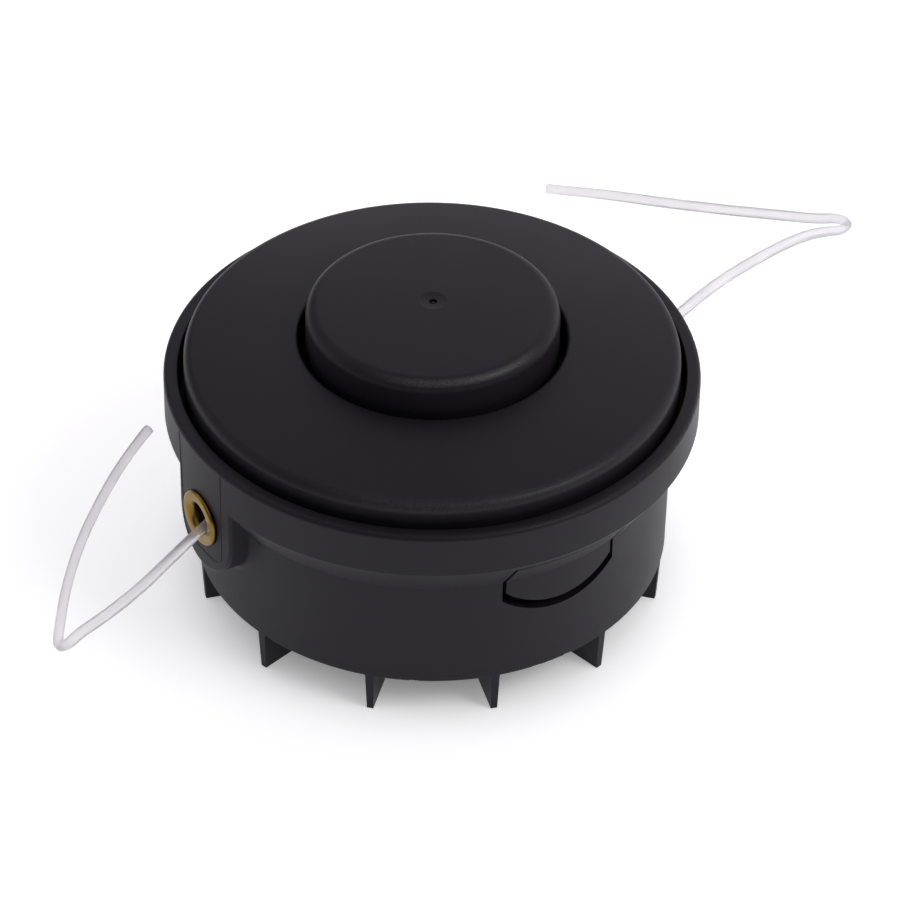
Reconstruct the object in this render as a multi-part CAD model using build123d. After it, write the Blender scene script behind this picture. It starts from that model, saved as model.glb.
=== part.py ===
"""Bump-feed trimmer head, knob up, standing on its cooling fins.

The housing is a stepped cup with radial fins under its floor. A domed cover
clips into it with two latch tabs. Inside, a line spool with a bump knob rides
a central post on a spring. Pushing the knob lifts the spool's upper dogs out of
the cover's dogs and drops its lower dogs between those on the housing floor.

Millimetres. Z is the spindle axis, from the fin tips (z = 0) up to the knob.
The two line eyelets lie on -X and +X, the two latch windows on -Y and +Y.
"""
import math
import os

from build123d import *

os.makedirs("parts", exist_ok=True)

# Housing shell
rim_radius = 65.0
rim_wall = 3.5
step = 6.4
wall = 2.6
wall_draft = 0.3
floor_thickness = 2.6
fin_height = 10.7
lower_wall_height = 29.7
chamfer_height = 9.7
band_height = 11.3
ledge_rise = 0.4
ledge_width = 2.5
ledge_height = 2.0
shell_edge = 0.6
rim_edge = 1.2
rim_inner_edge = 0.4
root_sink = 0.5

# Fins under the floor
fin_count = 12
fin_first_angle = 13.4
fin_tip_thickness = 1.6
fin_root_thickness = 2.2
fin_tip_inset = 0.6

# Hub and post
hub_wall = 6.2
hub_recess = 0.6
post_radius = 10.0
post_reach = 5.0
arbor_clearance = 1.1
arbor_clear_depth = 26.0
spring_seat_wall = 1.4
spring_seat_height = 1.5

# Arbor nut, M10 x 1.25, bored to the thread's minor diameter
nut_across_flats = 17.0
nut_height = 10.0
nut_bore_radius = 4.32
nut_clearance = 0.1

# Line eyelets and their bosses
eyelet_rise = 1.3
boss_half_width = 12.0
boss_round_drop = 2.7
boss_edge_radius = 1.0
boss_blend_radius = 2.0
eyelet_throat_radius = 3.6
eyelet_tube_wall = 1.3
eyelet_flange_width = 2.2
eyelet_flange_thickness = 1.5
eyelet_sink = 0.5
eyelet_hole_clearance = 0.1
eyelet_inner_reach = 0.4

# Latch windows and tabs
window_half_width = 15.6
window_rise = 7.7
window_height = 19.3
window_side_height = 13.7
latch_side_gap = 0.9
latch_top_gap = 0.4
latch_bottom_gap = 2.4
leg_half_width = 12.0
leg_thickness = 2.2
leg_clearance = 0.4
leg_root = 6.0

# Cover
cover_gap = 1.4
cover_wall = 2.4
cover_stand = 5.3
cover_edge_radius = 2.5
dome_rise = 4.2
dome_bulge = 0.4
hole_lip = 5.0
hole_edge_radius = 0.8

# Bump knob
knob_radius = 30.6
knob_gap = 1.8
knob_height = 21.0
knob_wall = 3.0
knob_edge_radius = 3.2
knob_crown = 1.4
dimple_radius = 3.5
dimple_depth = 0.4
gate_radius = 1.0
gate_depth = 0.6
plug_wall = 2.5
plug_clearance = 0.3
plug_tip_gap = 0.5
bead_size = 0.6
bead_height = 3.0
key_count = 3
key_width = 4.0
key_depth = 1.0

# Spool
bump_travel = 6.0
spool_drop = 2.8
flange_thickness = 2.4
flange_clearance = 1.5
core_wall = 1.7
socket_step = 2.0
web_height = 24.2
web_thickness = 3.0
post_clearance = 0.3
notch_count = 2
notch_depth = 5.0
notch_clearance = 0.2

# Dogs: six on each ring, drive face upright and back face sloped
dog_count = 6
dog_margin = 7.6
dog_length = 8.0
dog_width = 7.0
dog_slope = 2.0
dog_offset_angle = 15.0
dog_floor_gap = 0.5
lower_dog_height = 3.0
upper_dog_height = 4.5
upper_dog_gap = 1.0

# Spring and thrust washer
washer_thickness = 1.5
washer_gap = 0.4
wire_radius = 0.9
spring_post_gap = 1.7
spring_bore_gap = 1.5
spring_turns = 6
spring_end_gap = 0.05
spring_seat_gap = 0.5

# Line
line_diameter = 2.4
winding_margin = 5.1
winding_gap = 0.3
winding_core_gap = 0.1
winding_edge = 2.0

# Levels and radii that follow from the sizes above
wall_bottom = fin_height
floor_top = wall_bottom + floor_thickness
wall_top = wall_bottom + lower_wall_height
band_bottom = wall_top + chamfer_height
rim_top = band_bottom + band_height
wall_radius = rim_radius - step
foot_radius = wall_radius - wall_draft
cavity_radius = wall_radius - wall
rim_inner_radius = rim_radius - rim_wall
ledge_top = band_bottom + ledge_rise
ledge_bottom = ledge_top - ledge_height
ledge_radius = rim_inner_radius - ledge_width
slope_end = ledge_bottom - (ledge_radius - cavity_radius) * chamfer_height / step

eyelet_seat = rim_radius - eyelet_sink
eyelet_height = wall_top + eyelet_rise
boss_round_level = eyelet_height - boss_round_drop
eyelet_tube_radius = eyelet_throat_radius + eyelet_tube_wall
eyelet_flange_radius = eyelet_tube_radius + eyelet_flange_width

window_top = wall_top + window_rise
window_bottom = window_top - window_height
window_side_bottom = window_top - window_side_height

skirt_radius = rim_inner_radius - cover_gap
cover_corner = rim_top + cover_stand
hole_radius = knob_radius + knob_gap
hole_top = cover_corner + dome_rise
leg_outer_radius = cavity_radius - leg_clearance
leg_inner_radius = leg_outer_radius - leg_thickness

spool_bottom = floor_top + dog_floor_gap + bump_travel + lower_dog_height
spool_top = rim_top - spool_drop
web_bottom = spool_bottom + web_height
web_top = web_bottom + web_thickness
post_top = web_top + post_reach
knob_corner = spool_top + knob_height
washer_bottom = web_bottom - washer_thickness
cover_dog_bottom = spool_top + upper_dog_gap

hub_radius = nut_across_flats / math.sqrt(3) + hub_wall
arbor_clear_radius = nut_bore_radius + arbor_clearance
post_bore_radius = post_radius + post_clearance
spring_radius = post_radius + spring_post_gap + wire_radius
spring_seat_radius = spring_radius + wire_radius + spring_seat_gap
spring_bore_radius = spring_radius + wire_radius + spring_bore_gap
socket_radius = spring_bore_radius + socket_step
core_radius = socket_radius + key_depth + plug_clearance + core_wall
flange_radius = leg_inner_radius - flange_clearance
winding_radius = flange_radius - winding_margin
dog_outer_radius = flange_radius - dog_margin
dog_inner_radius = dog_outer_radius - dog_length

# Routes of the two line tails, from the winding out through an eyelet to the cut end
left_route = [
    (-47.2, 0.6, 44.9),
    (-55.5, -0.4, 43.3),
    (-64.2, -1.7, 40.7),
    (-74.2, -2.9, 36.7),
    (-85.6, -4.6, 31.8),
    (-95.0, -4.7, 27.8),
    (-101.2, -4.5, 25.1),
    (-105.6, -4.9, 23.3),
    (-107.1, -1.8, 22.5),
    (-103.1, 3.0, 23.6),
    (-96.5, 11.0, 25.0),
    (-86.6, 22.2, 26.9),
    (-74.0, 33.2, 29.0),
    (-62.5, 41.3, 30.8),
    (-53.6, 46.3, 32.0),
]
right_route = [
    (47.2, -1.4, 38.8),
    (55.8, -0.7, 39.7),
    (65.2, 0.6, 41.6),
    (77.5, 3.2, 44.2),
    (91.0, 6.9, 45.6),
    (104.0, 9.5, 46.3),
    (115.0, 11.0, 46.7),
    (121.8, 11.3, 46.9),
    (126.2, 10.6, 47.0),
    (129.5, 9.4, 47.0),
    (132.3, 10.9, 47.1),
    (132.2, 14.2, 47.2),
    (128.6, 17.9, 47.0),
    (122.1, 24.3, 46.6),
    (111.9, 33.6, 45.8),
    (98.5, 45.6, 45.0),
    (86.6, 56.8, 44.4),
    (76.5, 65.8, 44.0),
]
bend_share = 0.45


def turned(points):
    """A solid of revolution about Z from a closed outline of (radius, height) points."""
    return revolve(Plane.XZ * make_face(Polyline(*points, close=True)), axis=Axis.Z)


def rings(solid, radius, height):
    """The round edges of a turned solid at one radius and height."""
    def fits(edge):
        centre = edge.arc_center
        return abs(edge.radius - radius) < 0.01 and abs(centre.Z - height) < 0.01

    return solid.edges().filter_by(GeomType.CIRCLE).filter_by(fits)


def around(solid, count, first_angle=0.0):
    """Copies of a solid spaced evenly about Z, the first turned by first_angle."""
    pitch = 360.0 / count
    return [Rot(0, 0, first_angle + pitch * index) * solid for index in range(count)]


def dog(base, height):
    """One dog tooth on the +X axis, standing on level base, upright if height is positive."""
    half = dog_width / 2
    tip = base + height
    tooth = Polyline((-half, base), (half, base), (half - dog_slope, tip), (-half, tip), close=True)
    side = Plane(origin=(dog_inner_radius, 0, 0), x_dir=(0, 1, 0), z_dir=(1, 0, 0))
    return extrude(side * make_face(tooth), dog_outer_radius - dog_inner_radius)


def window_prism(side_gap, top_gap, bottom_gap, near, far):
    """The D-shaped latch opening, drawn in by the gaps, as a prism on the -Y side."""
    half = window_half_width - side_gap
    top = window_top - top_gap
    side_bottom = window_side_bottom + bottom_gap
    outline = (
        Polyline((-half, side_bottom), (-half, top), (half, top), (half, side_bottom)).edges()
        + [ThreePointArc((half, side_bottom), (0, window_bottom + bottom_gap), (-half, side_bottom))]
    )
    face = Plane(origin=(0, -near, 0), x_dir=(1, 0, 0), z_dir=(0, -1, 0)) * make_face(outline)
    return extrude(face, far - near)


def outer_skin(inner_radius, low, high):
    """A turned band between inner_radius and the housing's own outside, from low to high."""
    return turned([
        (inner_radius, low),
        (foot_radius + wall_draft * (low - wall_bottom) / lower_wall_height, low),
        (wall_radius, wall_top),
        (wall_radius + step * (high - wall_top) / chamfer_height, high),
        (inner_radius, high),
    ])


def fin():
    """One radial fin on the +X axis, thinner towards its tip."""
    root = wall_bottom + root_sink
    outline = Polyline(
        (-fin_tip_thickness / 2, 0), (fin_tip_thickness / 2, 0),
        (fin_root_thickness / 2, root), (-fin_root_thickness / 2, root), close=True,
    )
    blank = extrude(Plane.YZ * make_face(outline), foot_radius)
    reach = turned([(0, 0), (foot_radius - fin_tip_inset, 0), (foot_radius, root), (0, root)])
    return blank & reach


def eyelet_boss():
    """The tongue that carries an eyelet, on the -X side: the round band drawn down the wall."""
    plane = Plane(origin=(wall - cavity_radius, 0, 0), x_dir=(0, -1, 0), z_dir=(-1, 0, 0))
    half = boss_half_width
    outline = (
        Polyline(
            (-half, boss_round_level), (-half, ledge_top), (half, ledge_top), (half, boss_round_level),
        ).edges()
        + [ThreePointArc((half, boss_round_level), (0, boss_round_level - half), (-half, boss_round_level))]
    )
    tongue = extrude(plane * make_face(outline), rim_radius) & Cylinder(rim_radius, 4 * rim_radius)
    face_edges = tongue.faces().sort_by(Axis.X)[0].edges()
    return fillet(face_edges.filter_by_position(Axis.Z, 0, ledge_top, (True, False)), boss_edge_radius)


def housing():
    """Stepped cup with fins, hub, post, eyelet bosses, latch windows and floor dogs."""
    shell = turned([
        (0, wall_bottom), (foot_radius, wall_bottom), (wall_radius, wall_top),
        (rim_radius, band_bottom), (rim_radius, rim_top), (0, rim_top),
    ])
    shell = fillet(rings(shell, foot_radius, wall_bottom), shell_edge)
    shell = fillet(rings(shell, rim_radius, rim_top), rim_edge)
    boss = eyelet_boss()
    for tongue in (boss, Rot(0, 0, 180) * boss):
        joined = shell + tongue
        seams = new_edges(shell, tongue, combined=joined)
        low_seams = [seam for seam in seams if seam.bounding_box().max.Z < wall_top + root_sink]
        shell = fillet(low_seams, boss_blend_radius)
    shell = shell - turned([
        (0, floor_top), (cavity_radius, floor_top), (cavity_radius, slope_end),
        (ledge_radius, ledge_bottom), (ledge_radius, ledge_top), (rim_inner_radius, ledge_top),
        (rim_inner_radius, rim_top), (0, rim_top),
    ])
    shell = fillet(rings(shell, rim_inner_radius, rim_top), rim_inner_edge)
    shell = shell + turned([
        (0, hub_recess), (hub_radius, hub_recess), (hub_radius, floor_top), (0, floor_top),
    ])
    shell = shell + around(fin(), fin_count, fin_first_angle)
    shell = shell + turned([
        (0, wall_bottom), (post_radius, wall_bottom), (post_radius, post_top), (0, post_top),
    ])
    seat_top = floor_top + spring_seat_height
    seat_outer = spring_seat_radius + spring_seat_wall
    shell = shell + turned([
        (spring_seat_radius, wall_bottom), (seat_outer, wall_bottom),
        (seat_outer, seat_top), (spring_seat_radius, seat_top),
    ])
    shell = shell + around(dog(floor_top - root_sink, lower_dog_height + root_sink), dog_count)
    pocket = extrude(Pos(0, 0, hub_recess) * nut_outline(nut_clearance), nut_height)
    clear_top = hub_recess + nut_height + arbor_clear_depth
    shell = shell - [pocket, Pos(0, 0, clear_top / 2) * Cylinder(arbor_clear_radius, clear_top)]
    window = window_prism(0, 0, 0, leg_inner_radius, rim_radius + rim_wall)
    shell = shell - [window, Rot(0, 0, 180) * window]
    eyelet_hole = Cylinder(eyelet_tube_radius + eyelet_hole_clearance, 2 * (rim_radius + rim_wall))
    eyelet_hole -= Cylinder(2 * rim_radius, 2 * (cavity_radius - wall))
    flange_seat = Cylinder(eyelet_flange_radius + eyelet_hole_clearance, 2 * (rim_radius + rim_wall))
    flange_seat -= Cylinder(2 * rim_radius, 2 * eyelet_seat)
    return shell - Pos(0, 0, eyelet_height) * Rot(0, 90, 0) * (eyelet_hole + flange_seat)


def nut_outline(clearance):
    """The nut's hexagon, grown by a clearance on each flat."""
    return RegularPolygon(nut_across_flats / 2 + clearance, 6, major_radius=False)


def arbor_nut():
    """Hexagonal steel nut in the hub that the machine's arbor screws into."""
    body = extrude(Pos(0, 0, hub_recess) * nut_outline(0), nut_height)
    return body - Pos(0, 0, hub_recess + nut_height / 2) * Cylinder(nut_bore_radius, 2 * nut_height)


def eyelet():
    """Flared brass eyelet on the -X side: tube, bell mouth and rounded flange."""
    tube_length = eyelet_seat - cavity_radius + eyelet_inner_reach
    mouth = eyelet_flange_thickness
    lip = (eyelet_throat_radius + eyelet_flange_radius) / 2
    throat = mouth - lip + eyelet_throat_radius
    edge = eyelet_flange_radius - mouth / 2
    outline = (
        Polyline((lip, mouth), (edge, mouth)).edges()
        + [ThreePointArc((edge, mouth), (eyelet_flange_radius, mouth / 2), (edge, 0))]
        + Polyline(
            (edge, 0), (eyelet_tube_radius, 0), (eyelet_tube_radius, -tube_length),
            (eyelet_throat_radius, -tube_length), (eyelet_throat_radius, throat),
        ).edges()
        + [RadiusArc((eyelet_throat_radius, throat), (lip, mouth), lip - eyelet_throat_radius)]
    )
    solid = revolve(Plane.XZ * make_face(outline), axis=Axis.Z)
    return Pos(-eyelet_seat, 0, eyelet_height) * Rot(0, -90, 0) * solid


def cover():
    """Domed cover with its skirt, centre hole, latch legs and tabs, and upper dogs."""
    inside = skirt_radius - cover_wall
    crown = ThreePointArc(
        (skirt_radius, cover_corner),
        ((skirt_radius + hole_radius) / 2, (cover_corner + hole_top) / 2 + dome_bulge),
        (hole_radius, hole_top),
    )
    outline = [crown] + Polyline(
        (hole_radius, hole_top), (hole_radius, hole_top - hole_lip),
        (hole_radius + cover_wall, hole_top - hole_lip), (hole_radius + cover_wall, hole_top - cover_wall),
        (inside, cover_corner - cover_wall), (inside, ledge_top),
        (skirt_radius, ledge_top), (skirt_radius, cover_corner),
    ).edges()
    shell = revolve(Plane.XZ * make_face(outline), axis=Axis.Z)
    shell = fillet(rings(shell, skirt_radius, cover_corner), cover_edge_radius)
    shell = fillet(rings(shell, hole_radius, hole_top), hole_edge_radius)

    tab_low = window_bottom + latch_bottom_gap
    leg_top = ledge_top + leg_root
    upper_outer = ledge_radius - leg_clearance
    leg_ring = turned([
        (leg_inner_radius, tab_low), (leg_outer_radius, tab_low), (leg_outer_radius, slope_end),
        (upper_outer, ledge_bottom), (upper_outer, leg_top), (upper_outer - leg_thickness, leg_top),
        (upper_outer - leg_thickness, ledge_bottom), (leg_inner_radius, slope_end),
    ])
    strip = Pos(0, -rim_radius, 0) * Box(2 * leg_half_width, 2 * rim_radius, 4 * rim_radius)
    tab = window_prism(
        latch_side_gap, latch_top_gap, latch_bottom_gap, leg_inner_radius - leg_thickness, rim_radius,
    )
    tab &= outer_skin(leg_inner_radius, tab_low, window_top)
    for angle in (0, 180):
        shell = shell + Rot(0, 0, angle) * ((leg_ring & strip) + tab)

    run = (skirt_radius - dog_outer_radius) / (skirt_radius - hole_radius)
    root = cover_corner - cover_wall / 2 + dome_rise * run
    return shell + around(dog(root, cover_dog_bottom - root), dog_count)


def spool():
    """Line spool: core, two flanges, web, knob socket, line notches and its two rings of dogs."""
    low_flange = spool_bottom + flange_thickness
    top_flange = spool_top - flange_thickness
    groove = web_top + bead_height
    groove_radius = socket_radius + bead_size
    body = turned([
        (spring_bore_radius, spool_bottom), (flange_radius, spool_bottom), (flange_radius, low_flange),
        (core_radius, low_flange), (core_radius, top_flange), (flange_radius, top_flange),
        (flange_radius, spool_top), (socket_radius, spool_top), (socket_radius, groove + bead_size),
        (groove_radius, groove), (socket_radius, groove - bead_size), (socket_radius, web_top),
        (post_bore_radius, web_top), (post_bore_radius, web_bottom), (spring_bore_radius, web_bottom),
    ])
    slot_depth = key_depth + plug_clearance
    slot = Pos(socket_radius, 0, (web_top + spool_top) / 2) * Box(
        2 * slot_depth, key_width + 2 * plug_clearance, spool_top - web_top,
    )
    body = body - around(slot, key_count)
    notch = Pos(flange_radius, 0, spool_top) * Box(
        2 * notch_depth, line_diameter + 2 * notch_clearance, 4 * flange_thickness,
    )
    body = body - around(notch, notch_count)
    lower_dog = dog(spool_bottom + root_sink, -lower_dog_height - root_sink)
    upper_dog = dog(spool_top - root_sink, upper_dog_height + root_sink)
    body = body + around(lower_dog, dog_count, dog_offset_angle)
    return body + around(upper_dog, dog_count, dog_offset_angle)


def knob():
    """Bump knob: crowned cap with a dimple and gate pit, plugged into the spool's socket."""
    plug_radius = socket_radius - plug_clearance
    plug_inner = plug_radius - plug_wall
    plug_tip = web_top + plug_tip_gap
    ceiling = knob_corner - knob_wall
    groove = web_top + bead_height
    crown_top = knob_corner + knob_crown
    inside = knob_radius - knob_wall
    crown = ThreePointArc(
        (0, crown_top), (knob_radius / 2, knob_corner + knob_crown * 3 / 4), (knob_radius, knob_corner),
    )
    outline = [crown] + Polyline(
        (knob_radius, knob_corner), (knob_radius, spool_top), (inside, spool_top), (inside, ceiling),
        (plug_radius, ceiling), (plug_radius, groove + bead_size), (plug_radius + bead_size, groove),
        (plug_radius, groove - bead_size), (plug_radius, plug_tip), (plug_inner, plug_tip),
        (plug_inner, ceiling), (0, ceiling), (0, crown_top),
    ).edges()
    body = revolve(Plane.XZ * make_face(outline), axis=Axis.Z)
    body = fillet(rings(body, knob_radius, knob_corner), knob_edge_radius)
    bowl_radius = (dimple_radius ** 2 + dimple_depth ** 2) / (2 * dimple_depth)
    dimple_floor = crown_top - dimple_depth
    body = body - Pos(0, 0, dimple_floor + bowl_radius) * Sphere(bowl_radius)
    body = body - Pos(0, 0, dimple_floor) * Cylinder(gate_radius, 2 * gate_depth)
    key = Pos(plug_radius, 0, (plug_tip + spool_top) / 2) * Box(
        2 * key_depth, key_width, spool_top - plug_tip,
    )
    return body + around(key, key_count)


def thrust_washer():
    """Flat washer on the post between the spring and the turning spool."""
    outer = spring_bore_radius - washer_gap
    return turned([
        (post_bore_radius, washer_bottom), (outer, washer_bottom),
        (outer, web_bottom), (post_bore_radius, web_bottom),
    ])


def spring():
    """Compression spring round the post, at its length with the spool up."""
    low = floor_top + wire_radius + spring_end_gap
    height = washer_bottom - wire_radius - spring_end_gap - low
    path = Pos(0, 0, low) * Helix(height / spring_turns, height, spring_radius)
    return sweep(Plane(origin=path @ 0, z_dir=path % 0) * Circle(wire_radius), path=path, is_frenet=True)


def line_winding():
    """The two lines wound side by side on the core, as one roll."""
    low = spool_bottom + flange_thickness + winding_gap
    high = spool_top - flange_thickness - winding_gap
    inner = core_radius + winding_core_gap
    roll = turned([(inner, low), (winding_radius, low), (winding_radius, high), (inner, high)])
    return fillet(rings(roll, winding_radius, low) + rings(roll, winding_radius, high), winding_edge)


def bend_radii(route):
    """The largest bend at each inner point that its shorter run leaves room for."""
    points = [Vector(*point) for point in route]
    radii = []
    for before, here, after in zip(points, points[1:], points[2:]):
        run_in = here - before
        run_out = after - here
        half_turn = math.radians(run_in.get_angle(run_out)) / 2
        radii.append(bend_share * min(run_in.length, run_out.length) / math.tan(half_turn))
    return radii


def line_tail(name, route):
    """A free length of round line along its route."""
    radii = bend_radii(route)
    path = FilletPolyline(*route, radius=radii)
    tube = sweep(Plane(origin=path @ 0, z_dir=path % 0) * Circle(line_diameter / 2), path=path)
    section = math.pi * line_diameter ** 2 / 4
    print(name, "bend radii", [round(radius, 1) for radius in radii])
    share = tube.volume / (section * path.length)
    print(name, "length", round(path.length, 1), "volume share", round(share, 4))
    return tube


nodes = {
    "housing": housing(),
    "arbor_nut": arbor_nut(),
    "eyelet_left": eyelet(),
    "eyelet_right": Rot(0, 0, 180) * eyelet(),
    "cover": cover(),
    "spool": spool(),
    "bump_knob": knob(),
    "thrust_washer": thrust_washer(),
    "spring": spring(),
    "line_winding": line_winding(),
    "line_tail_left": line_tail("line_tail_left", left_route),
    "line_tail_right": line_tail("line_tail_right", right_route),
}
for node, shape in nodes.items():
    export_step(shape, f"parts/{node}.step")
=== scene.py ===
"""Looks of a bump-feed trimmer head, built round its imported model.

Every length is in metres, in the frame of the model: Z is the spindle axis,
from the fin tips up to the bump knob, with the two line eyelets on -X and +X.
"""
import math

import bpy
from mathutils import Matrix, Vector


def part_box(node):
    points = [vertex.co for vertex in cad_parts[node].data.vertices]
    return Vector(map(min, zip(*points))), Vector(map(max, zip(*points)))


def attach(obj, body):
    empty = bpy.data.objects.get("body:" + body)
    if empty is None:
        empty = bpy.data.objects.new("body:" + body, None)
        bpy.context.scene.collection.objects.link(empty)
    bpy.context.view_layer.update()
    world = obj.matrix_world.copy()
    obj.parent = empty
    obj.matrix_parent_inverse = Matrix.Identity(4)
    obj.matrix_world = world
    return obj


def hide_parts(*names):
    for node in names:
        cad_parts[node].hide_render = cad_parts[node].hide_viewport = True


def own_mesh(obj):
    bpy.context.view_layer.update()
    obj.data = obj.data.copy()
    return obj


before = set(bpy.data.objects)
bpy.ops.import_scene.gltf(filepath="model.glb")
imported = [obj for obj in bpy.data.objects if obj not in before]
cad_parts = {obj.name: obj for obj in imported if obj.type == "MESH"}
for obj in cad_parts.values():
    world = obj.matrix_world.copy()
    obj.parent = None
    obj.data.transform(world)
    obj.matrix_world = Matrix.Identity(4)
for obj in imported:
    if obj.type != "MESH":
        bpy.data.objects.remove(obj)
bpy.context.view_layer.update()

bl_info = {
    "name": "Trimmer head",
    "version": (1, 0, 0),
    "blender": (4, 5, 0),
    "location": "View3D > Sidebar > Trimmer head",
    "description": "Line tails, mouldings, metal parts and studio of a bump-feed trimmer head",
    "category": "Object",
}

# Routes of the two line tails, from the winding out through an eyelet to the cut end
LEFT_ROUTE = [
    (-0.0472, 0.0006, 0.0449),
    (-0.0555, -0.0004, 0.0433),
    (-0.0642, -0.0017, 0.0407),
    (-0.0739, -0.0031, 0.0364),
    (-0.0852, -0.0049, 0.0314),
    (-0.0947, -0.0049, 0.0274),
    (-0.1012, -0.0046, 0.0251),
    (-0.1048, -0.0056, 0.0240),
    (-0.1061, -0.0022, 0.0213),
    (-0.1031, 0.0020, 0.0228),
    (-0.0965, 0.0110, 0.0250),
    (-0.0865, 0.0222, 0.0269),
    (-0.0739, 0.0331, 0.0289),
    (-0.0625, 0.0413, 0.0308),
    (-0.0536, 0.0463, 0.0320),
]
RIGHT_ROUTE = [
    (0.0471, -0.0030, 0.0387),
    (0.0558, -0.0015, 0.0396),
    (0.0652, 0.0006, 0.0416),
    (0.0775, 0.0032, 0.0457),
    (0.0910, 0.0069, 0.0467),
    (0.1040, 0.0095, 0.0467),
    (0.1150, 0.0110, 0.0467),
    (0.1218, 0.0109, 0.0466),
    (0.1260, 0.0097, 0.0466),
    (0.1298, 0.0079, 0.0467),
    (0.1324, 0.0095, 0.0470),
    (0.1318, 0.0134, 0.0463),
    (0.1286, 0.0174, 0.0447),
    (0.1221, 0.0243, 0.0440),
    (0.1119, 0.0336, 0.0437),
    (0.0985, 0.0456, 0.0439),
    (0.0866, 0.0568, 0.0443),
    (0.0765, 0.0658, 0.0440),
]

FULL_TURN = 2.0 * math.pi
SHARP_ANGLE = math.radians(40.0)

# Steps in a turn of a coil, and sides round a section
SPRING_STEPS = 64
WINDING_STEPS = 112
WIRE_SIDES = 14
LINE_SIDES = 10
RIDGE_SIDES = 8
NUB_SIDES = 24


def length_setting(name, description, default):
    """A length that a user can change, in metres."""
    return bpy.props.FloatProperty(
        name=name, description=description, default=default, precision=5, unit="LENGTH",
    )


def angle_setting(name, description, degrees):
    """An angle that a user can change, given in degrees."""
    return bpy.props.FloatProperty(
        name=name, description=description, default=math.radians(degrees), subtype="ANGLE",
    )


def colour_setting(name, description, default):
    """A colour that a user can change."""
    return bpy.props.FloatVectorProperty(
        name=name, description=description, default=default, size=3, min=0.0, max=1.0, subtype="COLOR",
    )


class LineSettings(bpy.types.PropertyGroup):
    """Sizes of the nylon line, free and wound."""

    diameter: length_setting("Line diameter", "Thickness of the nylon line", 0.0024)
    left_length: length_setting("Left length", "Left tail from the winding to its cut end", 0.1387)
    right_length: length_setting("Right length", "Right tail from the winding to its cut end", 0.1662)
    corner_reach: length_setting("Corner reach", "From the free line's middle to a corner", 0.0014)
    side_bulge: bpy.props.FloatProperty(
        name="Side bulge",
        description="Swell of the free line's four sides, from 0.5, flat, to 0.71, round",
        default=0.62, min=0.5, max=0.71,
    )
    twist: angle_setting("Twist", "How far the section turns along a tail", 150.0)
    core_radius: length_setting("Core radius", "Where the first lay of the winding begins", 0.0201)


class MarkSettings(bpy.types.PropertyGroup):
    """Sizes of the small marks that the mould leaves."""

    ridge_radius: length_setting("Ridge radius", "Half the width of the insert line on a boss", 0.00011)
    ridge_near: length_setting("Near run", "From the boss's middle to the upright run", 0.0087)
    ridge_far_top: length_setting("Far run, top", "From the boss's middle to the other run's top", 0.0112)
    ridge_far_low: length_setting("Far run, low", "From the boss's middle to the other run's foot", 0.0094)
    ridge_bottom: length_setting("Insert bottom", "Level of the insert line's lowest run", 0.0320)
    ridge_corner: length_setting("Insert corner", "Corner radius of the insert line", 0.0035)
    ridge_top_gap: length_setting("Insert top gap", "From the rim's top down to the insert line", 0.0012)
    nub_radius: length_setting("Gate nub radius", "Radius of the broken gate in the knob's pit", 0.00045)
    nub_height: length_setting("Gate nub height", "How far the broken gate stands up", 0.00032)


class MetalSettings(bpy.types.PropertyGroup):
    """Sizes of the spring and of the arbor thread."""

    wire_radius: length_setting("Wire radius", "Radius of the spring's wire", 0.0009)
    spring_turns: bpy.props.FloatProperty(
        name="Spring turns", description="Turns of the spring", default=6.0, min=1.0,
    )
    nut_bore: length_setting("Nut bore", "Minor radius of the nut's thread", 0.00432)
    thread_pitch: length_setting("Thread pitch", "Pitch of the arbor thread", 0.00125)
    thread_depth: length_setting("Thread depth", "Depth of the arbor thread", 0.00068)
    nut_chamfer: length_setting("Nut chamfer", "Radius where the nut's end faces stop", 0.0083)


class FinishSettings(bpy.types.PropertyGroup):
    """Colours of the finishes."""

    plastic: colour_setting("Black plastic", "Moulded black plastic", (0.0105, 0.0087, 0.0127))
    # The scuff colour serves real scuffs and also paints highlights on the knob's and cover's corners.
    scuff_and_highlight: colour_setting("Scuffed plastic", "Black plastic where it is rubbed", (0.056, 0.054, 0.052))
    brass: colour_setting("Brass", "Clean brass", (0.24, 0.150, 0.035))
    tarnish: colour_setting("Tarnished brass", "Brass in its dull places", (0.20, 0.124, 0.028))
    steel: colour_setting("Plated steel", "Zinc-plated steel", (0.56, 0.56, 0.58))
    wire: colour_setting("Spring wire", "Drawn spring wire", (0.27, 0.265, 0.26))
    nylon: colour_setting("Nylon line", "Clear nylon line", (0.945, 0.93, 0.955))


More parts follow.
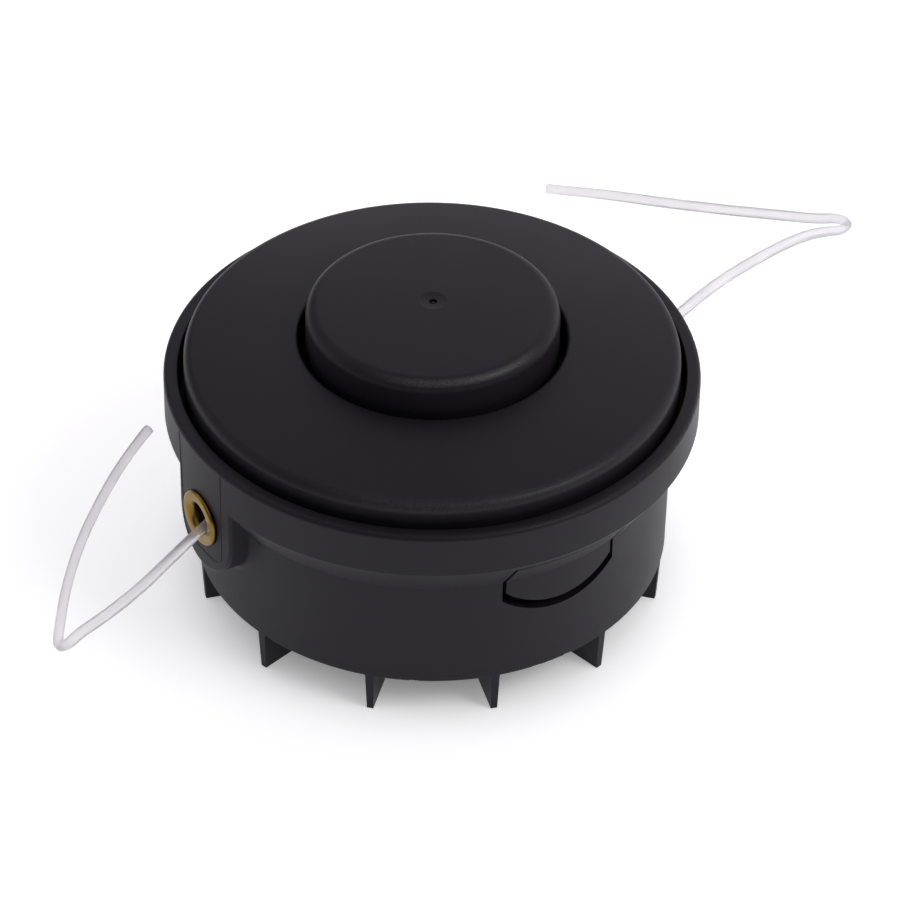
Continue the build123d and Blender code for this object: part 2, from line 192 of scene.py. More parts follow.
class StageSettings(bpy.types.PropertyGroup):
    """Camera, floor and light."""

    azimuth: angle_setting("Azimuth", "Where the camera stands round the part", -32.802)
    elevation: angle_setting("Elevation", "How far the camera looks down", 39.327)
    roll: angle_setting("Roll", "How far the camera is rolled", 0.839)
    distance: length_setting("Distance", "From the camera to its aim", 1.12461)
    aim: bpy.props.FloatVectorProperty(
        name="Aim", description="Point that the camera looks at",
        default=(0.003870, -0.002466, 0.03476), size=3, precision=5, subtype="TRANSLATION",
    )
    lens: bpy.props.FloatProperty(
        name="Lens", description="Focal length in millimetres on a 36 mm sensor", default=183.2,
    )
    floor_size: length_setting("Floor size", "Side of the square floor", 8.0)
    floor_glow: bpy.props.FloatProperty(
        name="Floor glow", description="How brightly the white table is lit from below", default=0.52,
    )
    shadow_radius: length_setting("Shadow radius", "How far the part shades the table from below", 0.055)
    wall_light: colour_setting("Wall light", "Light from the walls behind and beside", (0.94, 0.91, 0.97))
    roof_light: colour_setting("Roof light", "Light that comes in from above", (0.42, 0.42, 0.43))
    front_light: colour_setting("Front light", "Light from the camera's side", (0.13, 0.125, 0.135))
    fill_light: colour_setting("Fill light", "Soft light above the camera", (0.50, 0.485, 0.51))
    fill_elevation: angle_setting("Fill elevation", "How high the soft light above the camera is", 58.0)
    key_strength: bpy.props.FloatProperty(
        name="Key strength", description="Brightness of the small lamp at the front right", default=6.0,
    )
    key_bearing: angle_setting("Key bearing", "From the camera's azimuth round to the lamp", 64.0)
    key_elevation: angle_setting("Key elevation", "How high the lamp is", 45.0)
    flag_light: colour_setting("Flag light", "Dark screen, behind on the left", (0.20, 0.19, 0.21))
    flag_bearing: angle_setting("Flag bearing", "From the camera's azimuth round to the screen", 219.0)
    flag_elevation: angle_setting("Flag elevation", "How high the middle of the screen is", 10.0)


def put(tree, kind, inputs=None, **settings):
    """Add a node, set its properties, and set or link its inputs by name or number."""
    node = tree.nodes.new(kind)
    for name, value in settings.items():
        setattr(node, name, value)
    for key, value in (inputs or {}).items():
        if isinstance(value, bpy.types.NodeSocket):
            tree.links.new(value, node.inputs[key])
        else:
            node.inputs[key].default_value = value
    return node


def new_finish(name):
    """A blank finish: its material, node tree, shader and the piece's own coordinates."""
    material = bpy.data.materials.new(name)
    material.use_nodes = True
    tree = material.node_tree
    place = put(tree, "ShaderNodeTexCoord").outputs["Object"]
    return material, tree, tree.nodes["Principled BSDF"], place


def moved(tree, place, location=(0.0, 0.0, 0.0), scale=(1.0, 1.0, 1.0)):
    """Coordinates scaled and then shifted."""
    return put(
        tree, "ShaderNodeMapping", {"Vector": place, "Location": location, "Scale": scale},
    ).outputs["Vector"]


def noise(tree, place, scale, detail=2.0):
    """Smooth noise from 0 to 1, with scale features in a metre."""
    return put(
        tree, "ShaderNodeTexNoise", {"Vector": place, "Scale": scale, "Detail": detail},
    ).outputs["Fac"]


def between(tree, value, low, high, out_low=0.0, out_high=1.0):
    """A value eased from out_low to out_high as it goes from low to high."""
    return put(
        tree, "ShaderNodeMapRange",
        {"Value": value, "From Min": low, "From Max": high, "To Min": out_low, "To Max": out_high},
        interpolation_type="SMOOTHSTEP",
    ).outputs["Result"]


def times(tree, first, second):
    """The product of two values."""
    return put(tree, "ShaderNodeMath", {0: first, 1: second}, operation="MULTIPLY").outputs["Value"]


def plus(tree, first, second):
    """The sum of two values."""
    return put(tree, "ShaderNodeMath", {0: first, 1: second}, operation="ADD").outputs["Value"]


def blend_colours(tree, factor, first, second):
    """A colour that goes from first to second with the factor."""
    def opaque(colour):
        return colour if isinstance(colour, bpy.types.NodeSocket) else (*colour, 1.0)

    mix = put(tree, "ShaderNodeMix", {0: factor, 6: opaque(first), 7: opaque(second)}, data_type="RGBA")
    return mix.outputs[2]


def bumped(tree, height, distance, strength):
    """A surface normal roughened by a height."""
    return put(
        tree, "ShaderNodeBump", {"Height": height, "Distance": distance, "Strength": strength},
    ).outputs["Normal"]


def shade(colour, factor):
    """A colour made lighter or darker."""
    return tuple(channel * factor for channel in colour)


def spindle_radius(tree, place):
    """Distance from the spindle axis."""
    flat = moved(tree, place, scale=(1.0, 1.0, 0.0))
    return put(tree, "ShaderNodeVectorMath", {0: flat}, operation="LENGTH").outputs["Value"]


def height_above(tree, place):
    """Height in the part's frame."""
    return put(tree, "ShaderNodeSeparateXYZ", {"Vector": place}).outputs["Z"]


def facing(tree, place, direction):
    """How far out a point lies in one level direction, in metres."""
    return put(
        tree, "ShaderNodeVectorMath", {0: place, 1: direction}, operation="DOT_PRODUCT",
    ).outputs["Value"]


def moulded_plastic(name, colours, shift, wear_and_highlight=None):
    """Black plastic from a spark-eroded mould: fine grain, faint clouds and thin scuffs.

    Its last argument is a function that gives a mask of rubbed places and painted highlights from the tree
    and the coordinates.
    """
    material, tree, shader, place = new_finish(name)
    own = moved(tree, place, location=shift)
    cloud = noise(tree, own, 26.0, 4.0)
    grain = noise(tree, own, 2600.0, 2.0)
    speck = noise(tree, own, 3600.0, 1.0)
    streak = noise(tree, moved(tree, own, scale=(0.22, 1.0, 1.0)), 520.0, 3.0)
    patch = between(tree, noise(tree, own, 38.0, 2.0), 0.52, 0.72)

    dull = between(tree, cloud, 0.3, 0.7)
    tone = blend_colours(tree, dull, shade(colours.plastic, 0.86), shade(colours.plastic, 1.14))
    scuffs = times(tree, between(tree, streak, 0.62, 0.76), times(tree, patch, 0.08))
    tone = blend_colours(tree, scuffs, tone, colours.scuff_and_highlight)
    rough = between(tree, cloud, 0.25, 0.75, out_low=0.40, out_high=0.50)
    if wear_and_highlight is not None:
        rubbed_and_highlit = wear_and_highlight(tree, place)
        dots = between(tree, speck, 0.35, 0.65, out_low=0.35)
        # Rubbed places take the scuff colour; on the knob and cover this is partly a painted highlight.
        tone = blend_colours(tree, times(tree, rubbed_and_highlit, dots), tone, colours.scuff_and_highlight)
        rough = plus(tree, rough, times(tree, rubbed_and_highlit, -0.10))
    tree.links.new(tone, shader.inputs["Base Color"])
    tree.links.new(rough, shader.inputs["Roughness"])
    shader.inputs["Specular IOR Level"].default_value = 0.18
    tree.links.new(bumped(tree, grain, 0.00006, 0.35), shader.inputs["Normal"])
    return material


def knob_wear_and_highlight(tree, place):
    """The knob's rounded edge on its -Y side: partly rubbed wear, partly a painted highlight."""
    edge = between(tree, spindle_radius(tree, place), low=0.0283, high=0.0294)
    upper = between(tree, height_above(tree, place), low=0.0779, high=0.0788)
    side = between(tree, facing(tree, place, (-0.10, -0.995, 0.0)), low=0.013, high=0.029)
    end = between(tree, facing(tree, place, (1.0, 0.0, 0.0)), low=0.016, high=0.004)
    return times(tree, times(tree, edge, upper), times(tree, side, end))


def housing_wear(tree, place):
    """One pale smudge low on the wall, beside the latch window."""
    middle = (0.0227, -0.0539, 0.0230)
    radius = 0.0045
    distance = put(
        tree, "ShaderNodeVectorMath", {0: place, 1: middle}, operation="DISTANCE",
    ).outputs["Value"]
    return between(tree, distance, low=radius, high=0.0, out_high=0.10)


def cover_wear_and_highlight(tree, place):
    """The cover's outer corner on its -Y side: partly rubbed wear, partly a painted highlight."""
    edge = between(tree, spindle_radius(tree, place), low=0.0572, high=0.0592)
    upper = between(tree, height_above(tree, place), low=0.0640, high=0.0662)
    side = between(
        tree, facing(tree, place, (-0.14, -0.99, 0.0)), low=0.030, high=0.056, out_high=0.45,
    )
    return times(tree, times(tree, edge, upper), side)


def stamped_brass(name, colours, axis_height):
    """Stamped brass: tool rings about the eyelet's axis, and dull patches."""
    material, tree, shader, place = new_finish(name)
    centred = moved(tree, place, location=(0.0, 0.0, -axis_height))
    dull = between(tree, noise(tree, place, 150.0, 2.0), 0.3, 0.7)
    tone = blend_colours(tree, dull, colours.brass, colours.tarnish)
    tree.links.new(tone, shader.inputs["Base Color"])
    rough = between(tree, dull, 0.0, 1.0, out_low=0.25, out_high=0.34)
    tree.links.new(rough, shader.inputs["Roughness"])
    shader.inputs["Metallic"].default_value = 1.0
    rings = put(
        tree, "ShaderNodeTexWave",
        {"Vector": centred, "Scale": 700.0, "Distortion": 0.6, "Detail": 1.0},
        wave_type="RINGS", rings_direction="X",
    ).outputs["Fac"]
    tree.links.new(bumped(tree, rings, 0.00001, 0.08), shader.inputs["Normal"])
    return material


def clear_nylon(name, colours):
    """Drawn nylon line: milky and clear by turns, with a faint skin of draw marks."""
    material, tree, shader, place = new_finish(name)
    milk = between(tree, noise(tree, place, 160.0, 3.0), 0.3, 0.7)
    tone = blend_colours(tree, milk, colours.nylon, shade(colours.nylon, 0.95))
    tree.links.new(tone, shader.inputs["Base Color"])
    rough = between(tree, milk, 0.0, 1.0, out_low=0.36, out_high=0.46)
    tree.links.new(rough, shader.inputs["Roughness"])
    shader.inputs["Transmission Weight"].default_value = 0.85
    shader.inputs["IOR"].default_value = 1.53
    marks = noise(tree, place, 1100.0, 2.0)
    tree.links.new(bumped(tree, marks, 0.00001, 0.06), shader.inputs["Normal"])
    return material


def worked_steel(name, colour, grain, rough_low, rough_high):
    """Bare or plated steel with a fine worked grain."""
    material, tree, shader, place = new_finish(name)
    stain = between(tree, noise(tree, place, 260.0, 4.0), 0.3, 0.75)
    tone = blend_colours(tree, stain, colour, shade(colour, 0.72))
    tree.links.new(tone, shader.inputs["Base Color"])
    rough = between(tree, stain, 0.0, 1.0, out_low=rough_low, out_high=rough_high)
    tree.links.new(rough, shader.inputs["Roughness"])
    shader.inputs["Metallic"].default_value = 1.0
    tree.links.new(bumped(tree, noise(tree, place, grain, 2.0), 0.00003, 0.2), shader.inputs["Normal"])
    return material


def white_table(name, glow, shadow_radius):
    """Matt white table that glows, with a painted shadow where the part stands: the glow fades there."""
    material, tree, shader, place = new_finish(name)
    fibre = between(tree, noise(tree, place, 3.0, 2.0), 0.3, 0.7)
    tone = blend_colours(tree, fibre, (0.90, 0.90, 0.90), (0.92, 0.92, 0.92))
    tree.links.new(tone, shader.inputs["Base Color"])
    shader.inputs["Roughness"].default_value = 0.9
    shader.inputs["Specular IOR Level"].default_value = 0.1
    shader.inputs["Emission Color"].default_value = (1.0, 1.0, 1.0, 1.0)
    # Painted shadow: the glow drops to a third of its strength under the part.
    glow_with_painted_shadow = between(
        tree, spindle_radius(tree, place), low=0.7 * shadow_radius, high=1.3 * shadow_radius,
        out_low=0.3 * glow, out_high=glow,
    )
    tree.links.new(glow_with_painted_shadow, shader.inputs["Emission Strength"])
    return material


def new_tree(name, sizes):
    """A geometry tree with named size inputs, a material input and a mesh output."""
    tree = bpy.data.node_groups.new(name, "GeometryNodeTree")
    tree.interface.new_socket("Geometry", in_out="INPUT", socket_type="NodeSocketGeometry")
    for size in sizes:
        tree.interface.new_socket(size, in_out="INPUT", socket_type="NodeSocketFloat")
    tree.interface.new_socket("Material", in_out="INPUT", socket_type="NodeSocketMaterial")
    tree.interface.new_socket("Geometry", in_out="OUTPUT", socket_type="NodeSocketGeometry")
    return tree, put(tree, "NodeGroupInput").outputs


def close_tree(tree, given, shapes):
    """Join the shapes, make them real, give them the material and end the tree."""
    joined = put(tree, "GeometryNodeJoinGeometry")
    for shape in shapes:
        tree.links.new(shape, joined.inputs["Geometry"])
    real = put(tree, "GeometryNodeRealizeInstances", {"Geometry": joined.outputs["Geometry"]})
    smooth = put(tree, "GeometryNodeSetShadeSmooth", {0: real.outputs["Geometry"]})
    dressed = put(
        tree, "GeometryNodeSetMaterial", {"Geometry": smooth.outputs[0], "Material": given["Material"]},
    )
    put(tree, "NodeGroupOutput", {"Geometry": dressed.outputs["Geometry"]})


def swept(tree, path, radius, sides):
    """A round tube along a path."""
    section = put(
        tree, "GeometryNodeCurvePrimitiveCircle", {"Resolution": sides, "Radius": radius}, mode="RADIUS",
    ).outputs["Curve"]
    return put(
        tree, "GeometryNodeCurveToMesh", {"Curve": path, "Profile Curve": section, "Fill Caps": True},
    ).outputs["Mesh"]


def lifted(tree, shape, height):
    """A shape raised by a height."""
    offset = put(tree, "ShaderNodeCombineXYZ", {"Z": height}).outputs["Vector"]
    return put(
        tree, "GeometryNodeTransform", {"Geometry": shape, "Translation": offset},
    ).outputs["Geometry"]


def coil_path(tree, turns, radius, height, steps):
    """A helix about Z that starts at the origin's level."""
    return put(
        tree, "GeometryNodeCurveSpiral",
        {
            "Resolution": steps, "Rotations": turns, "Height": height,
            "Start Radius": radius, "End Radius": radius,
        },
    ).outputs["Curve"]


def spring_tree():
    """A round wire wound into a helix."""
    tree, given = new_tree("wound_spring", ("Turns", "Coil Radius", "Coil Height", "Base", "Wire Radius"))
    path = coil_path(tree, given["Turns"], given["Coil Radius"], given["Coil Height"], SPRING_STEPS)
    wire = swept(tree, path, given["Wire Radius"], WIRE_SIDES)
    close_tree(tree, given, [lifted(tree, wire, given["Base"])])
    return tree


def winding_tree():
    """The outer lay of line, turn beside turn, over a plain roll of the lays below it."""
    tree, given = new_tree(
        "wound_line",
        (
            "Turns", "Lay Radius", "Lay Height", "Lay Base", "Line Radius",
            "Roll Radius", "Roll Width", "Roll Height", "Roll Middle",
        ),
    )
    path = coil_path(tree, given["Turns"], given["Lay Radius"], given["Lay Height"], WINDING_STEPS)
    lay = lifted(tree, swept(tree, path, given["Line Radius"], LINE_SIDES), given["Lay Base"])
    ring = put(
        tree, "GeometryNodeCurvePrimitiveCircle",
        {"Resolution": WINDING_STEPS, "Radius": given["Roll Radius"]}, mode="RADIUS",
    ).outputs["Curve"]
    section = put(
        tree, "GeometryNodeCurvePrimitiveQuadrilateral",
        {"Width": given["Roll Width"], "Height": given["Roll Height"]}, mode="RECTANGLE",
    ).outputs["Curve"]
    roll = put(tree, "GeometryNodeCurveToMesh", {"Curve": ring, "Profile Curve": section}).outputs["Mesh"]
    close_tree(tree, given, [lay, lifted(tree, roll, given["Roll Middle"])])
    return tree


def wrapped(tree, path, radius):
    """A flat path, drawn with X along the wall and Z up, bent round the wall on its -X side."""
    place = put(tree, "GeometryNodeInputPosition").outputs["Position"]
    flat = put(tree, "ShaderNodeSeparateXYZ", {"Vector": place}).outputs
    angle = put(tree, "ShaderNodeMath", {0: flat["X"], 1: radius}, operation="DIVIDE").outputs["Value"]
    cosine = put(tree, "ShaderNodeMath", {0: angle}, operation="COSINE").outputs["Value"]
    sine = put(tree, "ShaderNodeMath", {0: angle}, operation="SINE").outputs["Value"]
    opposite = times(tree, radius, -1.0)
    bent = put(
        tree, "ShaderNodeCombineXYZ",
        {"X": times(tree, opposite, cosine), "Y": times(tree, opposite, sine), "Z": flat["Z"]},
    ).outputs["Vector"]
    return put(tree, "GeometryNodeSetPosition", {"Geometry": path, "Position": bent}).outputs["Geometry"]


def insert_line_tree():
    """A fine ridge along a path with rounded corners, bent round the wall, once on each boss."""
    tree, given = new_tree("insert_line", ("Wall Radius", "Ridge Radius", "Corner Radius", "Step"))
    path = put(tree, "GeometryNodeMeshToCurve", {0: given["Geometry"]}).outputs["Curve"]
    rounded = put(
        tree, "GeometryNodeFilletCurve",
        {"Curve": path, "Count": 8, "Radius": given["Corner Radius"], "Limit Radius": True}, mode="POLY",
    ).outputs["Curve"]
    stepped = put(
        tree, "GeometryNodeResampleCurve", {"Curve": rounded, "Length": given["Step"]}, mode="LENGTH",
    ).outputs["Curve"]
    bent = wrapped(tree, stepped, given["Wall Radius"])
    near = swept(tree, bent, given["Ridge Radius"], RIDGE_SIDES)
    far = put(
        tree, "GeometryNodeTransform", {"Geometry": near, "Rotation": (0.0, 0.0, math.pi)},
    ).outputs["Geometry"]
    close_tree(tree, given, [near, far])
    return tree


def grown(tree, settings, start=None):
    """Run a geometry tree once with its named settings and return a plain mesh."""
    carrier = bpy.data.objects.new("carrier", start or bpy.data.meshes.new("carrier"))
    bpy.context.scene.collection.objects.link(carrier)
    modifier = carrier.modifiers.new("shape", "NODES")
    modifier.node_group = tree
    for item in tree.interface.items_tree:
        if item.in_out == "INPUT" and item.name in settings:
            modifier[item.identifier] = settings[item.name]
    graph = bpy.context.evaluated_depsgraph_get()
    mesh = bpy.data.meshes.new_from_object(carrier.evaluated_get(graph))
    carrier.modifiers.remove(modifier)
    bpy.data.objects.remove(carrier)
    if not mesh.polygons:
        raise RuntimeError(f"{tree.name} made no faces")
    mesh.set_sharp_from_angle(angle=SHARP_ANGLE)
    return mesh


def lofted(name, rings, capped=False):
    """A closed skin through rings of points: the last joins the first, or both ends are capped."""
    count = len(rings[0])
    points = [point for ring in rings for point in ring]
    faces = []
    rows = len(rings)
    if capped:
        rows -= 1
        faces.append(tuple(reversed(range(count))))
        faces.append(tuple(range(len(points) - count, len(points))))
    for row in range(rows):
        after = (row + 1) % len(rings)
        for column in range(count):
            beside = (column + 1) % count
            faces.append((
                row * count + column, row * count + beside,
                after * count + beside, after * count + column,
            ))
    mesh = bpy.data.meshes.new(name)
    mesh.from_pydata(points, [], faces)
    mesh.shade_smooth()
    mesh.set_sharp_from_angle(angle=SHARP_ANGLE)
    return mesh


def round_ring(radius, height, steps):
    """A level ring of points about the spindle axis."""
    turn = FULL_TURN / steps
    return [
        (radius * math.cos(turn * step), radius * math.sin(turn * step), height) for step in range(steps)
    ]


def new_piece(name, data, body, replaced=()):
    """Put a finished mesh or curve in the scene, riding on its body."""
    piece = bpy.data.objects.new(name, data)
    bpy.context.scene.collection.objects.link(piece)
    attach(piece, body)
    if replaced:
        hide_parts(*replaced)
    return piece


def dress(data, material):
    """Give a piece one finish all over."""
    data.materials.clear()
    data.materials.append(material)


def surface_level(node, x, y):
    """The level of a node's upper surface at a place."""
    above = Vector((x, y, 1.0))
    down = Vector((0.0, 0.0, -1.0))
    hit, place, _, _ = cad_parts[node].ray_cast(above, down)
    if not hit:
        raise RuntimeError(f"{node} has no surface at {x}, {y}")
    return place.z


def camera_axes(azimuth, elevation, roll=0.0):
    """Right, up and backward axes of a camera that looks at the part."""
    level = math.cos(elevation)
    back = Vector((math.sin(azimuth) * level, -math.cos(azimuth) * level, math.sin(elevation)))
    right = (-back).cross(Vector((0.0, 0.0, 1.0))).normalized()
    up = right.cross(-back)
    rolled_right = right * math.cos(roll) + up * math.sin(roll)
    rolled_up = up * math.cos(roll) - right * math.sin(roll)
    return rolled_right, rolled_up, back


def placed(data, name, axes, place):
    """A camera or light turned to its axes and put in place."""
    thing = bpy.data.objects.new(name, data)
    bpy.context.scene.collection.objects.link(thing)
    matrix = Matrix(axes).transposed().to_4x4()
    matrix.translation = place
    thing.matrix_world = matrix
    return thing


class TRIMMER_OT_stage(bpy.types.Operator):
    """Set up the camera, the white table and the studio light"""

    bl_idname = "trimmer.stage"
    bl_label = "Stage"

    # Where each light begins and where it is full, as the cosine of the angle to its middle
    front_edge = (-0.25, 0.55)
    roof_edge = (0.75, 0.95)
    fill_edge = (0.80, 0.97)
    key_edge = (0.965, 0.985)
    flag_edge = (0.82, 0.96)

    def execute(self, context):
        stage = context.scene.trimmer_stage
        aim = Vector(stage.aim)
        lens = bpy.data.cameras.new("camera")
        lens.sensor_width = 36.0
        lens.lens = stage.lens
        axes = camera_axes(stage.azimuth, stage.elevation, stage.roll)
        context.scene.camera = placed(lens, "camera", axes, aim + axes[2] * stage.distance)

        half = stage.floor_size / 2
        table = bpy.data.meshes.new("table")
        table.from_pydata(
            [(-half, -half, 0.0), (half, -half, 0.0), (half, half, 0.0), (-half, half, 0.0)],
            [], [(0, 1, 2, 3)],
        )
        dress(table, white_table("white_table", stage.floor_glow, stage.shadow_radius))
        floor = bpy.data.objects.new("table", table)
        context.scene.collection.objects.link(floor)

        self.add_dome(context.scene, stage)
        context.scene.view_settings.view_transform = "Standard"
        return {"FINISHED"}

    def add_dome(self, scene, stage):
        """Soft light from the walls all round, a lamp at the front right and a dark flag behind."""
        world = bpy.data.worlds.new("studio_dome")
        world.use_nodes = True
        scene.world = world
        tree = world.node_tree
        direction = put(tree, "ShaderNodeTexCoord").outputs["Generated"]
        back = camera_axes(stage.azimuth, 0.0)[2]
        frontal = between(tree, facing(tree, direction, back), *self.front_edge)
        light = blend_colours(tree, frontal, stage.wall_light, stage.front_light)
        rise = between(tree, height_above(tree, direction), *self.roof_edge)
        light = blend_colours(tree, rise, light, stage.roof_light)
        fill = camera_axes(stage.azimuth, stage.fill_elevation)[2]
        filled = between(tree, facing(tree, direction, fill), *self.fill_edge)
        light = blend_colours(tree, filled, light, stage.fill_light)
        key = camera_axes(stage.azimuth + stage.key_bearing, stage.key_elevation)[2]
        lit = between(tree, facing(tree, direction, key), *self.key_edge)
        light = blend_colours(tree, lit, light, (stage.key_strength,) * 3)
        flag = camera_axes(stage.azimuth + stage.flag_bearing, stage.flag_elevation)[2]
        hidden = between(tree, facing(tree, direction, flag), *self.flag_edge)
        light = blend_colours(tree, hidden, light, stage.flag_light)
        tree.links.new(light, tree.nodes["Background"].inputs["Color"])


class TRIMMER_OT_line_tails(bpy.types.Operator):
    """Lay the two free ends of the nylon line"""

    bl_idname = "trimmer.line_tails"
    bl_label = "Line tails"

    def execute(self, context):
        line = context.scene.trimmer_line
        nylon = clear_nylon("clear_nylon", context.scene.trimmer_finish)
        self.lay("left", LEFT_ROUTE, line.left_length, line, nylon)
        self.lay("right", RIGHT_ROUTE, line.right_length, line, nylon)
        return {"FINISHED"}

    def lay(self, side, route, length, line, nylon):
        """One tail: a smooth line of a soft square section, twisted along its route."""
        curve = bpy.data.curves.new(f"free_line_{side}", "CURVE")
        curve.dimensions = "3D"
        spline = curve.splines.new("NURBS")
        spline.points.add(len(route) - 1)
        for step, (point, place) in enumerate(zip(spline.points, route)):
            point.co = (*place, 1.0)
            point.tilt = line.twist * step / (len(route) - 1)
        spline.order_u = 3
        spline.use_endpoint_u = True
        spline.resolution_u = 8
        curve.bevel_depth = line.corner_reach
        curve.bevel_resolution = 6
        curve.bevel_mode = "PROFILE"
        curve.bevel_profile.points.add(line.side_bulge, line.side_bulge)
        curve.bevel_profile.update()
        curve.use_fill_caps = True
        dress(curve, nylon)
        tail = new_piece(f"free_line_{side}", curve, "housing", [f"line_tail_{side}"])


class TRIMMER_OT_housing(bpy.types.Operator):
    """Finish the stepped housing with its fins and bosses"""

    bl_idname = "trimmer.housing"
    bl_label = "Housing"

    def execute(self, context):
        plastic = moulded_plastic(
            "housing_black", context.scene.trimmer_finish, (0.31, 0.17, 0.05), housing_wear,
        )
        dress(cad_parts["housing"].data, plastic)
        return {"FINISHED"}


class TRIMMER_OT_insert_lines(bpy.types.Operator):
    """Draw the fine ridge that the mould's insert leaves on each eyelet boss"""

    bl_idname = "trimmer.insert_lines"
    bl_label = "Insert lines"

    def execute(self, context):
        marks = context.scene.trimmer_marks
        low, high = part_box("housing")
        top = high.z - marks.ridge_top_gap
        corners = [
            (-marks.ridge_far_top, 0.0, top), (-marks.ridge_far_low, 0.0, marks.ridge_bottom),
            (marks.ridge_near, 0.0, marks.ridge_bottom), (marks.ridge_near, 0.0, top),
        ]
        path = bpy.data.meshes.new("insert_path")
        path.from_pydata(corners, [(0, 1), (1, 2), (2, 3)], [])
        mesh = grown(
            insert_line_tree(),
            {
                "Wall Radius": -low.x, "Ridge Radius": marks.ridge_radius,
                "Corner Radius": marks.ridge_corner, "Step": marks.ridge_corner / 6,
                "Material": bpy.data.materials["housing_black"],
            },
            path,
        )
        new_piece("insert_lines", mesh, "housing")
        return {"FINISHED"}


class TRIMMER_OT_cover(bpy.types.Operator):
    """Finish the domed cover with its latch tabs"""

    bl_idname = "trimmer.cover"
    bl_label = "Cover"

    def execute(self, context):
        plastic = moulded_plastic(
            "cover_black", context.scene.trimmer_finish, (0.07, 0.41, 0.23), cover_wear_and_highlight,
        )
        dress(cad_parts["cover"].data, plastic)
        return {"FINISHED"}


class TRIMMER_OT_knob(bpy.types.Operator):
    """Finish the bump knob and set the broken gate in its pit"""

    bl_idname = "trimmer.knob"
    bl_label = "Bump knob"

    def execute(self, context):
        plastic = moulded_plastic(
            "knob_black", context.scene.trimmer_finish, (0.53, 0.29, 0.11), knob_wear_and_highlight,
        )
        dress(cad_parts["bump_knob"].data, plastic)
        marks = context.scene.trimmer_marks
        base = surface_level("bump_knob", 0.0, 0.0)
        radius = marks.nub_radius
        height = marks.nub_height
        profile = [
            (radius, base - height), (radius, base + height / 2),
            (radius * 0.8, base + height * 0.9), (radius * 0.4, base + height),
        ]
        rings = [round_ring(reach, level, NUB_SIDES) for reach, level in profile]
        mesh = lofted("gate_mark", rings, capped=True)
        dress(mesh, plastic)
        new_piece("gate_mark", mesh, "spool")
        return {"FINISHED"}


class TRIMMER_OT_eyelets(bpy.types.Operator):
    """Finish the two brass line eyelets"""

    bl_idname = "trimmer.eyelets"
    bl_label = "Eyelets"

    def execute(self, context):
        low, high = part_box("eyelet_left")
        brass = stamped_brass("stamped_brass", context.scene.trimmer_finish, (low.z + high.z) / 2)
        for side in ("left", "right"):
            dress(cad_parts[f"eyelet_{side}"].data, brass)
        return {"FINISHED"}


class TRIMMER_OT_spool(bpy.types.Operator):
    """Finish the spool and wind its line on it"""

    bl_idname = "trimmer.spool"
    bl_label = "Spool and winding"

    def execute(self, context):
        colours = context.scene.trimmer_finish
        dress(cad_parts["spool"].data, moulded_plastic("spool_black", colours, (0.83, 0.37, 0.61)))
        line = context.scene.trimmer_line
        diameter = line.diameter
        low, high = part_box("line_winding")
        outer = high.x
        inner = line.core_radius
        rise = high.z - low.z
        turns = math.floor(rise / diameter) - 1
        lay_radius = outer - diameter / 2
        mesh = grown(
            winding_tree(),
            {
                "Turns": float(turns), "Lay Radius": lay_radius, "Lay Height": rise - diameter,
                "Lay Base": low.z + diameter / 2, "Line Radius": diameter / 2,
                "Roll Radius": (inner + lay_radius) / 2, "Roll Width": lay_radius - inner,
                "Roll Height": rise, "Roll Middle": (low.z + high.z) / 2,
                "Material": bpy.data.materials["clear_nylon"],
            },
        )
        new_piece("wound_line", mesh, "spool", ["line_winding"])
        return {"FINISHED"}


class TRIMMER_OT_spring(bpy.types.Operator):
    """Wind the spring and finish the thrust washer"""

    bl_idname = "trimmer.spring"
    bl_label = "Spring and washer"

    def execute(self, context):
        metal = context.scene.trimmer_metal
        colours = context.scene.trimmer_finish
        low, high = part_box("spring")
        rise = high.z - low.z
        mesh = grown(
            spring_tree(),
            {
                "Turns": metal.spring_turns, "Coil Radius": high.x - metal.wire_radius,
                "Coil Height": rise - 2 * metal.wire_radius,
                "Base": low.z + metal.wire_radius, "Wire Radius": metal.wire_radius,
                "Material": worked_steel("spring_wire", colours.wire, 1800.0, 0.30, 0.48),
            },
        )
        spring = new_piece("wound_spring", mesh, "housing", ["spring"])
        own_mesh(spring)
        dress(
            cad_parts["thrust_washer"].data,
            worked_steel("plated_steel", colours.steel, 2400.0, 0.28, 0.45),
        )
        return {"FINISHED"}


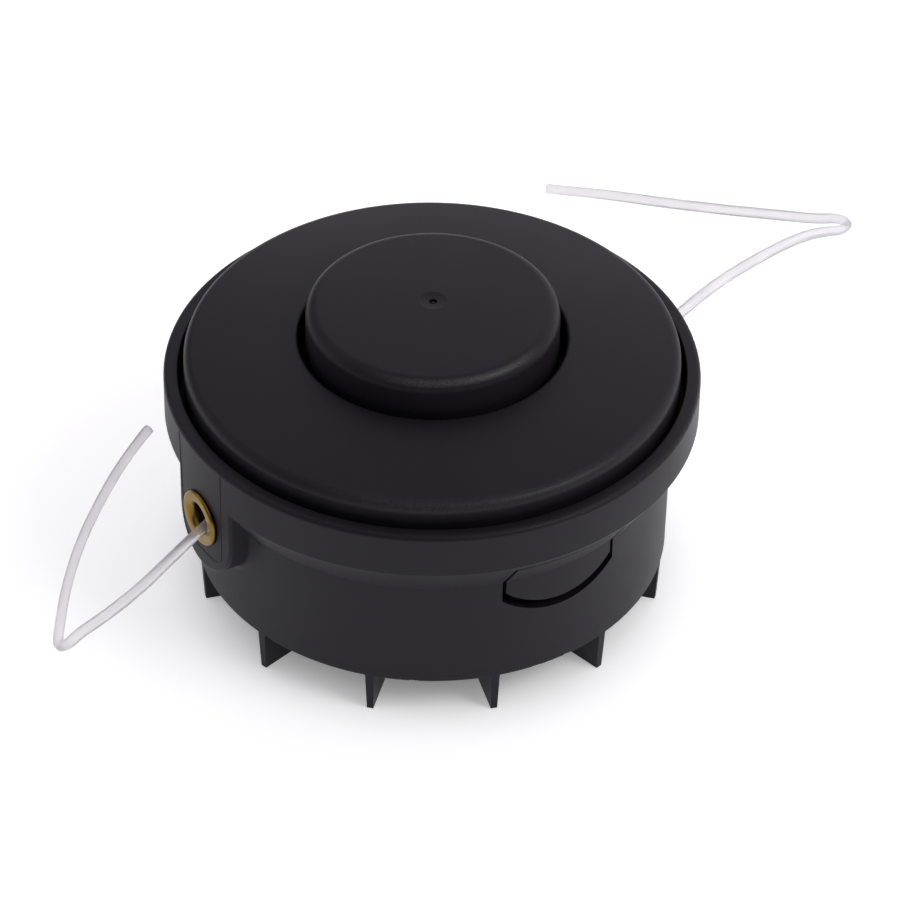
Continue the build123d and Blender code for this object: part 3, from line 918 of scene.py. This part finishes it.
class TRIMMER_OT_arbor_nut(bpy.types.Operator):
    """Make the hexagonal arbor nut with its chamfers and thread"""

    bl_idname = "trimmer.arbor_nut"
    bl_label = "Arbor nut"

    steps = 96
    levels_per_pitch = 8
    chamfer_slope = math.tan(math.radians(30.0))

    def execute(self, context):
        metal = context.scene.trimmer_metal
        low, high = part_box("arbor_nut")
        flat = high.y
        rings = self.outside(low.z, high.z, flat, metal) + self.bore(low.z, high.z, metal)
        mesh = lofted("threaded_nut", rings)
        dress(mesh, bpy.data.materials["plated_steel"])
        new_piece("threaded_nut", mesh, "housing", ["arbor_nut"])
        return {"FINISHED"}

    def outside(self, bottom, top, flat, metal):
        """Rings up the hexagon, with the cone that chamfers its corners at both ends."""
        sixth = FULL_TURN / 6
        rings = [[], [], [], []]
        for step in range(self.steps):
            angle = FULL_TURN * step / self.steps
            reach = flat / math.cos(angle % sixth - sixth / 2)
            drop = max(0.0, reach - metal.nut_chamfer) * self.chamfer_slope
            inner = min(reach, metal.nut_chamfer)
            spots = ((inner, bottom), (reach, bottom + drop), (reach, top - drop), (inner, top))
            for ring, (radius, level) in zip(rings, spots):
                ring.append((radius * math.cos(angle), radius * math.sin(angle), level))
        return rings

    def bore(self, bottom, top, metal):
        """Rings down the bore, cut by one helical thread."""
        levels = round((top - bottom) / metal.thread_pitch) * self.levels_per_pitch
        rings = []
        for level in range(levels + 1):
            height = top - (top - bottom) * level / levels
            ring = []
            for step in range(self.steps):
                share = step / self.steps
                phase = (height / metal.thread_pitch - share) % 1.0
                cut = metal.thread_depth * (1.0 - abs(2.0 * phase - 1.0))
                radius = metal.nut_bore + cut
                angle = FULL_TURN * share
                ring.append((radius * math.cos(angle), radius * math.sin(angle), height))
            rings.append(ring)
        return rings


OPERATORS = (
    TRIMMER_OT_stage, TRIMMER_OT_line_tails, TRIMMER_OT_housing, TRIMMER_OT_insert_lines,
    TRIMMER_OT_cover, TRIMMER_OT_knob, TRIMMER_OT_eyelets, TRIMMER_OT_spool, TRIMMER_OT_spring,
    TRIMMER_OT_arbor_nut,
)
SETTINGS = {
    "trimmer_line": LineSettings,
    "trimmer_marks": MarkSettings,
    "trimmer_metal": MetalSettings,
    "trimmer_finish": FinishSettings,
    "trimmer_stage": StageSettings,
}


class TRIMMER_PT_panel(bpy.types.Panel):
    """Lists the settings and the steps that build the looks"""

    bl_label = "Trimmer head"
    bl_space_type = "VIEW_3D"
    bl_region_type = "UI"
    bl_category = "Trimmer head"

    def draw(self, context):
        for operator in OPERATORS:
            self.layout.operator(operator.bl_idname)
        for name, group in SETTINGS.items():
            column = self.layout.column(align=True)
            for setting in group.__annotations__:
                column.prop(getattr(context.scene, name), setting)


def register():
    for group in SETTINGS.values():
        bpy.utils.register_class(group)
    for name, group in SETTINGS.items():
        setattr(bpy.types.Scene, name, bpy.props.PointerProperty(type=group))
    for operator in OPERATORS:
        bpy.utils.register_class(operator)
    bpy.utils.register_class(TRIMMER_PT_panel)


def unregister():
    bpy.utils.unregister_class(TRIMMER_PT_panel)
    for operator in reversed(OPERATORS):
        bpy.utils.unregister_class(operator)
    for name, group in SETTINGS.items():
        delattr(bpy.types.Scene, name)
        bpy.utils.unregister_class(group)


def main():
    register()
    bpy.ops.trimmer.stage()
    bpy.ops.trimmer.line_tails()
    bpy.ops.trimmer.housing()
    bpy.ops.trimmer.insert_lines()
    bpy.ops.trimmer.cover()
    bpy.ops.trimmer.knob()
    bpy.ops.trimmer.eyelets()
    bpy.ops.trimmer.spool()
    bpy.ops.trimmer.spring()
    bpy.ops.trimmer.arbor_nut()


if __name__ == "__main__":
    main()
